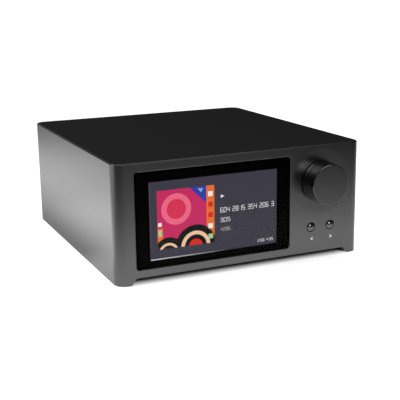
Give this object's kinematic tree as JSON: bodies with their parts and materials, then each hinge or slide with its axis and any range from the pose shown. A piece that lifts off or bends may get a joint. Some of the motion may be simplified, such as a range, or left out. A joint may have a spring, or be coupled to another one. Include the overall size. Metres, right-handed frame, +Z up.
{
  "type": "streaming amplifier",
  "caption": "Half-width streaming amplifier: dark metal wrap casing, lit front screen, dished volume knob, round buttons, rear terminals.",
  "frame": {"origin": "on the floor plane, under the middle of the casing", "axes": "+X to the viewer's right along the front, +Y from the front to the rear, +Z up"},
  "size_m": [0.218, 0.266, 0.096],
  "materials": {
    "casing_metal": "satin anodised, dark graphite",
    "top_black": "smooth black, soft sheen",
    "dark_steel": "fine powder coat",
    "rubber": "matt",
    "screw_steel": "black zinc",
    "cover_glass": "clear, polished",
    "black_foam": "matt foam",
    "screen": "lit display",
    "backlight_steel": "bare sheet",
    "board_green": "solder mask",
    "ribbon": "flat film",
    "knob_metal": "turned and anodised, bright front chamfer",
    "knob_disc": "fine bead blast, dark grey",
    "bright_steel": "nickel plate",
    "button_metal": "polished",
    "black_plastic": "moulded",
    "ferrite": "sintered",
    "winding_tape": "yellow tape",
    "capacitor_sleeve": "shrunk sleeve",
    "fin_aluminium": "black anodised",
    "brass": "plain",
    "rocker_plastic": "moulded",
    "gold": "gold plate",
    "cap_red": "clear-cast look",
    "cap_black": "moulded"
  },
  "bodies": {
    "chassis": {"front_panel": "casing_metal", "side_panels": "casing_metal", "rear_rails": "casing_metal", "top_plate": "top_black", "base_tray": "dark_steel", "rear_panel": "dark_steel", "rubber_feet": "rubber", "outer_screws": "screw_steel", "inner_screws": "screw_steel", "cover_glass": "cover_glass", "display_gasket": "black_foam", "display_cell": "screen", "display_backlight": "backlight_steel", "display_bracket": "backlight_steel", "display_driver_board": "board_green", "ribbons": "ribbon", "encoder_housing": "bright_steel", "encoder_nut": "bright_steel", "key_bodies": "black_plastic", "front_board": "board_green", "power_board": "board_green", "transformer_core": "ferrite", "transformer_winding": "winding_tape", "capacitors": "capacitor_sleeve", "amplifier_board": "board_green", "amplifier_chips": "black_plastic", "amplifier_heat_sink": "fin_aluminium", "output_coils": "ferrite", "standoffs": "brass", "main_board": "board_green", "processor_cooler": "fin_aluminium", "radio_module": "bright_steel", "mains_inlet": "black_plastic", "mains_terminals": "bright_steel", "switch_housing": "black_plastic", "post_stems": "gold", "post_bases": "black_plastic", "phono_block": "black_plastic", "phono_shells": "gold", "phono_insulators": "black_plastic", "optical_socket": "black_plastic", "video_socket": "bright_steel", "serial_socket": "bright_steel", "network_socket": "bright_steel", "jack_bodies": "black_plastic"},
    "knob_press": {"encoder_plunger": "bright_steel"},
    "knob": {"knob_body": "knob_metal", "knob_face": "knob_disc", "encoder_shaft": "bright_steel"},
    "previous_button": {"previous_button": "button_metal"},
    "next_button": {"next_button": "button_metal"},
    "rocker": {"rocker": "rocker_plastic"},
    "clamp_right_plus": {"clamp_right_plus": "gold"},
    "cap_right_plus": {"cap_right_plus": "cap_red"},
    "clamp_right_minus": {"clamp_right_minus": "gold"},
    "cap_right_minus": {"cap_right_minus": "cap_black"},
    "clamp_left_minus": {"clamp_left_minus": "gold"},
    "cap_left_minus": {"cap_left_minus": "cap_black"},
    "clamp_left_plus": {"clamp_left_plus": "gold"},
    "cap_left_plus": {"cap_left_plus": "cap_red"}
  },
  "joints": [
    {"name": "knob_push", "type": "slide", "parent": "chassis", "child": "knob_press", "axis": [0, 1, 0], "range_m": [0, 0.0005], "stiffness_N_per_m": 600},
    {"name": "knob_turn", "type": "hinge", "parent": "knob_press", "child": "knob", "pos_m": [0.07, -0.1183, 0.0655], "axis": [0, 1, 0], "continuous": true},
    {"name": "previous_press", "type": "slide", "parent": "chassis", "child": "previous_button", "axis": [0, 1, 0], "range_m": [0, 0.0006], "stiffness_N_per_m": 400},
    {"name": "next_press", "type": "slide", "parent": "chassis", "child": "next_button", "axis": [0, 1, 0], "range_m": [0, 0.0006], "stiffness_N_per_m": 400},
    {"name": "rocker_tilt", "type": "hinge", "parent": "chassis", "child": "rocker", "pos_m": [-0.03, 0.1129, 0.03], "axis": [1, 0, 0], "range_deg": [-22, 0]},
    {"name": "travel_right_plus", "type": "slide", "parent": "chassis", "child": "clamp_right_plus", "axis": [0, 1, 0], "range_m": [0, 0.003]},
    {"name": "turn_right_plus", "type": "hinge", "parent": "clamp_right_plus", "child": "cap_right_plus", "pos_m": [0.021, 0.1153, 0.03], "axis": [0, 1, 0], "range_deg": [0, 1080]},
    {"name": "travel_right_minus", "type": "slide", "parent": "chassis", "child": "clamp_right_minus", "axis": [0, 1, 0], "range_m": [0, 0.003]},
    {"name": "turn_right_minus", "type": "hinge", "parent": "clamp_right_minus", "child": "cap_right_minus", "pos_m": [0.04, 0.1153, 0.03], "axis": [0, 1, 0], "range_deg": [0, 1080]},
    {"name": "travel_left_minus", "type": "slide", "parent": "chassis", "child": "clamp_left_minus", "axis": [0, 1, 0], "range_m": [0, 0.003]},
    {"name": "turn_left_minus", "type": "hinge", "parent": "clamp_left_minus", "child": "cap_left_minus", "pos_m": [0.059, 0.1153, 0.03], "axis": [0, 1, 0], "range_deg": [0, 1080]},
    {"name": "travel_left_plus", "type": "slide", "parent": "chassis", "child": "clamp_left_plus", "axis": [0, 1, 0], "range_m": [0, 0.003]},
    {"name": "turn_left_plus", "type": "hinge", "parent": "clamp_left_plus", "child": "cap_left_plus", "pos_m": [0.078, 0.1153, 0.03], "axis": [0, 1, 0], "range_deg": [0, 1080]}
  ],
  "couplings": [
    {"joint": "turn_right_plus", "follows": "travel_right_plus", "rad_per_m": 6283.2},
    {"joint": "turn_right_minus", "follows": "travel_right_minus", "rad_per_m": 6283.2},
    {"joint": "turn_left_minus", "follows": "travel_left_minus", "rad_per_m": 6283.2},
    {"joint": "turn_left_plus", "follows": "travel_left_plus", "rad_per_m": 6283.2}
  ]
}
